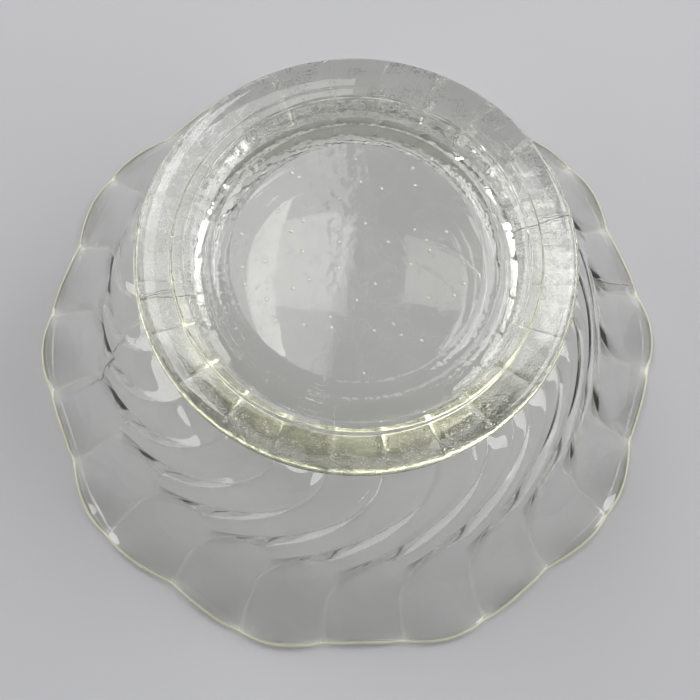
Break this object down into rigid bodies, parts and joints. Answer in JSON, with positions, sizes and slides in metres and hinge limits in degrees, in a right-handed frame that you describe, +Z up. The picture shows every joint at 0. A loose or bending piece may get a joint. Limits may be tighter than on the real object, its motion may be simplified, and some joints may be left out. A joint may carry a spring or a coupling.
{
  "type": "dessert bowl",
  "caption": "Clear pressed glass dessert bowl with swirl ribs, a flared scalloped brim and a low round foot.",
  "frame": {"origin": "centre of the level plane that the rim rests on: the bowl is stored upside down on its rim, as pictured", "axes": "+Z up through the foot, away from the bowl's mouth, which opens towards -Z; +X to the viewer's right and +Y away from the viewer"},
  "size_m": [0.1292, 0.1282, 0.0532],
  "materials": {
    "bowl_glass": "clear pressed soda-lime glass, fire polished",
    "foot_glass": "thick clear pressed soda-lime glass with a faint yellow-green tint, fire polished"
  },
  "bodies": {
    "root": {"bowl": "bowl_glass", "foot": "foot_glass"}
  },
  "joints": []
}
